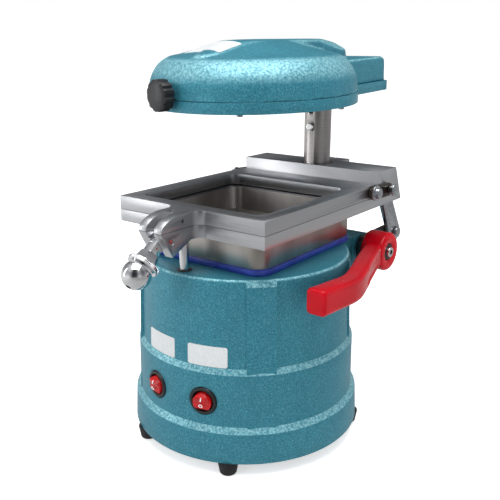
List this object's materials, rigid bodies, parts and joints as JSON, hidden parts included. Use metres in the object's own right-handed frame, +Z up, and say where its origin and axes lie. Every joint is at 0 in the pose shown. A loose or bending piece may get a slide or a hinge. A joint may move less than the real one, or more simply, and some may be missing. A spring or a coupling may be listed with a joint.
{
  "type": "dental vacuum former",
  "caption": "Bench vacuum former: round cast base with suction chamber, lever-lifted sheet frame on one post, and a heater head that swings about the post.",
  "frame": {"origin": "on the axis of the round base, at the plane its feet stand on", "axes": "+Z up along the post, -Y the front with the latch and the switches, +X the side with the lever"},
  "size_m": [0.202, 0.2844, 0.3169],
  "materials": {
    "hammertone_paint": "teal blue hammertone paint on cast aluminium",
    "cast_steel": "satin ground steel",
    "polished_steel": "pressed stainless steel",
    "zinc_plate": "zinc-plated steel",
    "chrome_plate": "bright chrome",
    "dark_steel": "blackened steel",
    "red_plastic": "glossy red moulding",
    "rocker_plastic": "translucent red rocker",
    "black_plastic": "black moulding",
    "black_rubber": "matte black rubber",
    "blue_seal": "blue silicone rubber",
    "label_film": "blank white film",
    "motor_metal": "pressed aluminium",
    "bronze": "sintered bronze",
    "reflector_metal": "bright rolled aluminium",
    "heater_tube": "heat-tinted steel tube",
    "steatite": "white ceramic bead"
  },
  "bodies": {
    "base": {"base_housing": "hammertone_paint", "base_plate": "dark_steel", "base_plate_screws": "zinc_plate", "rubber_feet": "black_rubber", "foot_screws": "zinc_plate", "chamber_seal": "blue_seal", "vacuum_chamber": "polished_steel", "perforated_plate": "polished_steel", "rod_bush": "black_plastic", "shaft_bush": "bronze", "thrust_washer": "zinc_plate", "post": "polished_steel", "post_set_screw": "dark_steel", "cable_gland": "black_plastic", "motor_can": "motor_metal", "motor_mounts": "black_rubber", "fan_housing": "motor_metal", "duct_seal": "black_rubber", "switch_bodies": "black_plastic", "switch_labels": "label_film"},
    "fan": {"motor_shaft": "zinc_plate", "fan_impeller": "motor_metal"},
    "heat_switch": {"heat_rocker": "rocker_plastic"},
    "vacuum_switch": {"vacuum_rocker": "rocker_plastic"},
    "carriage": {"lower_frame": "cast_steel", "post_bush": "dark_steel", "clamp_screw": "dark_steel", "guide_rod": "chrome_plate", "latch_pin": "chrome_plate", "hinge_pins": "zinc_plate", "link_top_pin": "zinc_plate"},
    "top_frame": {"upper_frame": "cast_steel", "frame_gasket": "black_rubber", "hinge_links": "dark_steel", "hinge_screws": "zinc_plate"},
    "latch": {"swing_bolt": "chrome_plate"},
    "latch_knob": {"clamp_knob": "chrome_plate"},
    "lever": {"lever_handle": "red_plastic", "lever_shaft": "zinc_plate", "lever_bolt": "chrome_plate", "lever_washer": "black_plastic", "crank_arm": "dark_steel", "crank_pin": "zinc_plate"},
    "link": {"lift_link": "zinc_plate"},
    "head": {"head_shell": "hammertone_paint", "head_ring": "hammertone_paint", "head_hub": "motor_metal", "reflector": "reflector_metal", "heater_element": "heater_tube", "heater_posts": "steatite", "head_knob": "black_plastic", "knob_nut": "zinc_plate", "head_label": "label_film", "head_screws": "zinc_plate"},
    "stop": {"stop_button": "chrome_plate"}
  },
  "joints": [
    {"name": "lever_pull", "type": "hinge", "parent": "base", "child": "lever", "pos_m": [0.07, 0.096, 0.1406], "axis": [1, 0, 0], "range_deg": [0, 33]},
    {"name": "frame_lift", "type": "slide", "parent": "base", "child": "carriage", "axis": [0, 0, 1], "range_m": [0, 0.02902]},
    {"name": "link_swing", "type": "hinge", "parent": "lever", "child": "link", "pos_m": [0.06325, 0.14199, 0.14592], "axis": [1, 0, 0], "range_deg": [-46.2, 0]},
    {"name": "frame_open", "type": "hinge", "parent": "carriage", "child": "top_frame", "pos_m": [0, 0.108, 0.1925], "axis": [-1, 0, 0], "range_deg": [0, 10]},
    {"name": "latch_swing", "type": "hinge", "parent": "carriage", "child": "latch", "pos_m": [0, -0.0985, 0.1815], "axis": [-1, 0, 0], "range_deg": [0, 65]},
    {"name": "latch_knob_turn", "type": "hinge", "parent": "latch", "child": "latch_knob", "pos_m": [0, -0.0985, 0.1815], "axis": [0, -0.7771, -0.6293], "continuous": true},
    {"name": "head_swing", "type": "hinge", "parent": "base", "child": "head", "pos_m": [0, 0.107, 0.25], "axis": [0, 0, 1], "range_deg": [-110, 110]},
    {"name": "fan_spin", "type": "hinge", "parent": "base", "child": "fan", "pos_m": [0, 0, 0.1], "axis": [0, 0, 1], "continuous": true},
    {"name": "heat_switch_press", "type": "hinge", "parent": "base", "child": "heat_switch", "pos_m": [0.02431, -0.08312, 0.0582], "axis": [-0.9598, -0.2807, 0], "range_deg": [0, 16]},
    {"name": "vacuum_switch_press", "type": "hinge", "parent": "base", "child": "vacuum_switch", "pos_m": [-0.02007, -0.08424, 0.0582], "axis": [-0.9728, 0.2317, 0], "range_deg": [0, 16]},
    {"name": "stop_press", "type": "slide", "parent": "base", "child": "stop", "axis": [0, 1, 0], "range_m": [0, 0.0022], "stiffness_N_per_m": 400, "springref_m": -0.001}
  ],
  "couplings": [
    {"joint": "frame_lift", "follows": "lever_pull", "m_per_rad": 0.050367},
    {"joint": "link_swing", "follows": "lever_pull", "ratio": -1.3986}
  ]
}
